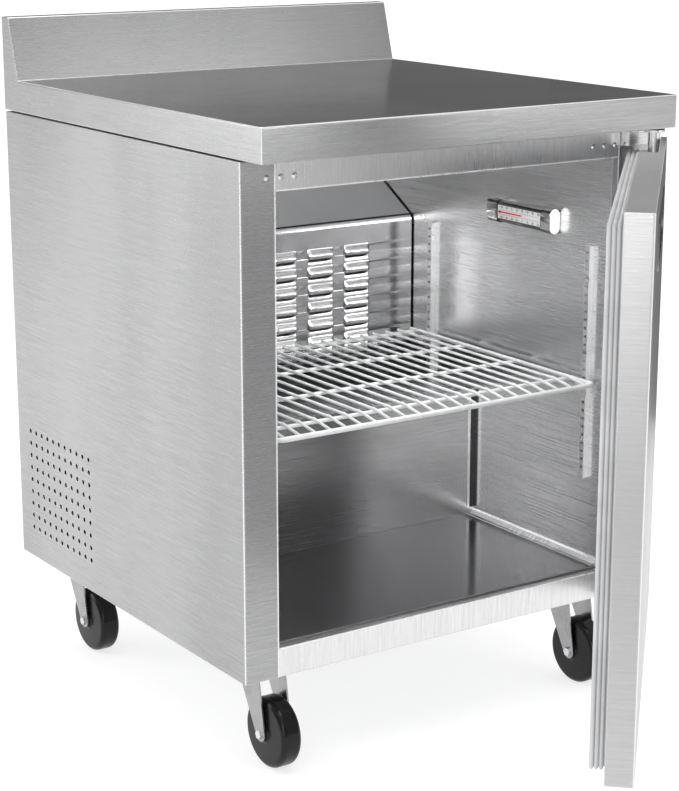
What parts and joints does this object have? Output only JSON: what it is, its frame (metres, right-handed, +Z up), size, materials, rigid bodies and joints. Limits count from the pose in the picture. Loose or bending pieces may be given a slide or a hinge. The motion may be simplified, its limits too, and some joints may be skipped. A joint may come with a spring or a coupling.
{
  "type": "worktop refrigerator",
  "caption": "Stainless worktop refrigerator on swivel casters with a rear upstand, a hinged insulated door, a wire shelf and a rear condensing unit.",
  "frame": {"origin": "on the floor, under the middle of the worktop's width and depth", "axes": "+Z up, +Y to the rear, +X to the right seen from the front; the door's face looks along -Y when shut. The rest pose has the door 46.2 degrees open, and door_hinge at -46.2 shuts it"},
  "size_m": [0.7008, 1.2415, 1.004],
  "materials": {
    "stainless": "satin",
    "liner_steel": "satin",
    "galvanised": "matte",
    "foam": "matte",
    "zinc": "satin",
    "caster_wheel": "satin",
    "coated_wire": "gloss",
    "chromed": "polished",
    "fins": "satin",
    "black_paint": "satin",
    "motor_housing": "satin",
    "fan_metal": "satin",
    "copper": "satin",
    "grey_plastic": "matte",
    "gasket_rubber": "matte"
  },
  "bodies": {
    "cabinet": {"base_pan": "galvanised", "bottom_hinge": "zinc", "bottom_rail": "stainless", "cabinet_screws": "zinc", "caster_bolts": "zinc", "caster_plates": "zinc", "compressor": "black_paint", "condensate_pan": "grey_plastic", "condenser_coil": "fins", "condenser_fan_motor": "motor_housing", "condenser_shroud": "galvanised", "control_box": "grey_plastic", "cord_gland": "grey_plastic", "drain_pan": "galvanised", "evaporator_coil": "fins", "evaporator_cover": "liner_steel", "evaporator_fan_motor": "motor_housing", "evaporator_fan_shroud": "galvanised", "filter_drier": "copper", "floor_coves": "liner_steel", "insulation": "foam", "liner_back": "liner_steel", "liner_ceiling": "liner_steel", "liner_floor": "liner_steel", "liner_left": "liner_steel", "liner_right": "liner_steel", "liner_step_face": "liner_steel", "liner_step_top": "liner_steel", "rear_grille": "galvanised", "rear_panel": "galvanised", "shelf_clips": "zinc", "shelf_standards": "zinc", "side_panel_left": "stainless", "side_panel_right": "stainless", "thermometer": "chromed", "top_hinge": "zinc", "top_rail": "stainless", "unit_base_plate": "galvanised", "worktop": "stainless"},
    "door": {"door_skin": "stainless", "door_core": "foam", "door_liner": "liner_steel", "door_gasket": "gasket_rubber", "door_handle": "stainless", "door_bushes": "grey_plastic"},
    "wire_shelf": {"wire_shelf": "coated_wire"},
    "evaporator_fan": {"evaporator_fan_blade": "fan_metal"},
    "condenser_fan": {"condenser_fan_blade": "fan_metal"},
    "fork_front_left": {"caster_fork_front_left": "zinc", "caster_axle_front_left": "zinc"},
    "wheel_front_left": {"caster_wheel_front_left": "caster_wheel"},
    "fork_front_right": {"caster_fork_front_right": "zinc", "caster_axle_front_right": "zinc"},
    "wheel_front_right": {"caster_wheel_front_right": "caster_wheel"},
    "fork_rear_left": {"caster_fork_rear_left": "zinc", "caster_axle_rear_left": "zinc"},
    "wheel_rear_left": {"caster_wheel_rear_left": "caster_wheel"},
    "fork_rear_right": {"caster_fork_rear_right": "zinc", "caster_axle_rear_right": "zinc"},
    "wheel_rear_right": {"caster_wheel_rear_right": "caster_wheel"}
  },
  "joints": [
    {"name": "door_hinge", "type": "hinge", "parent": "cabinet", "child": "door", "pos_m": [0.323, -0.3595, 0.5], "axis": [0, 0, 1], "range_deg": [-46.2, 58.8]},
    {"name": "shelf_lift", "type": "slide", "parent": "cabinet", "child": "wire_shelf", "axis": [0, 0, 1], "range_m": [0, 0.04]},
    {"name": "evaporator_fan_spin", "type": "hinge", "parent": "cabinet", "child": "evaporator_fan", "pos_m": [0, 0.222, 0.552], "axis": [0, 1, 0], "continuous": true},
    {"name": "condenser_fan_spin", "type": "hinge", "parent": "cabinet", "child": "condenser_fan", "pos_m": [-0.238, 0.215, 0.258], "axis": [1, 0, 0], "continuous": true},
    {"name": "swivel_front_left", "type": "hinge", "parent": "cabinet", "child": "fork_front_left", "pos_m": [-0.27975, -0.2516, 0.137], "axis": [0, 0, 1], "continuous": true},
    {"name": "roll_front_left", "type": "hinge", "parent": "fork_front_left", "child": "wheel_front_left", "pos_m": [-0.27975, -0.2816, 0.051], "axis": [1, 0, 0], "continuous": true},
    {"name": "swivel_front_right", "type": "hinge", "parent": "cabinet", "child": "fork_front_right", "pos_m": [0.27975, -0.2516, 0.137], "axis": [0, 0, 1], "continuous": true},
    {"name": "roll_front_right", "type": "hinge", "parent": "fork_front_right", "child": "wheel_front_right", "pos_m": [0.27975, -0.2816, 0.051], "axis": [1, 0, 0], "continuous": true},
    {"name": "swivel_rear_left", "type": "hinge", "parent": "cabinet", "child": "fork_rear_left", "pos_m": [-0.27975, 0.2858, 0.137], "axis": [0, 0, 1], "continuous": true},
    {"name": "roll_rear_left", "type": "hinge", "parent": "fork_rear_left", "child": "wheel_rear_left", "pos_m": [-0.27975, 0.2558, 0.051], "axis": [1, 0, 0], "continuous": true},
    {"name": "swivel_rear_right", "type": "hinge", "parent": "cabinet", "child": "fork_rear_right", "pos_m": [0.27975, 0.2858, 0.137], "axis": [0, 0, 1], "continuous": true},
    {"name": "roll_rear_right", "type": "hinge", "parent": "fork_rear_right", "child": "wheel_rear_right", "pos_m": [0.27975, 0.2558, 0.051], "axis": [1, 0, 0], "continuous": true}
  ]
}
